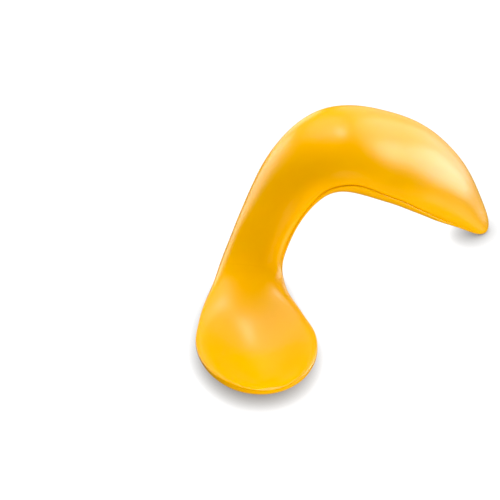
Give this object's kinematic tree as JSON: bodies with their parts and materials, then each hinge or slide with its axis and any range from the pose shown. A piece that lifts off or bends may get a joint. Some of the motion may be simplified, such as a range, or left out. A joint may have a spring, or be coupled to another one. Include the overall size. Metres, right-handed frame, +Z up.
{
  "type": "curved toddler spoon",
  "caption": "Curved child's feeding spoon: a level oval bowl, a rising bent neck and a fat hollow crescent handle that arches down to a point.",
  "frame": {"origin": "middle of the bounding box, on the floor that the spoon stands on", "axes": "+Z up; the bowl's long axis runs along Y with its front edge towards -Y; the handle runs towards +X"},
  "size_m": [0.0856, 0.0799, 0.041],
  "materials": {
    "yellow_plastic": "satin golden-yellow moulded polypropylene"
  },
  "bodies": {
    "root": {"spoon_moulding": "yellow_plastic", "handle_base": "yellow_plastic"}
  },
  "joints": []
}
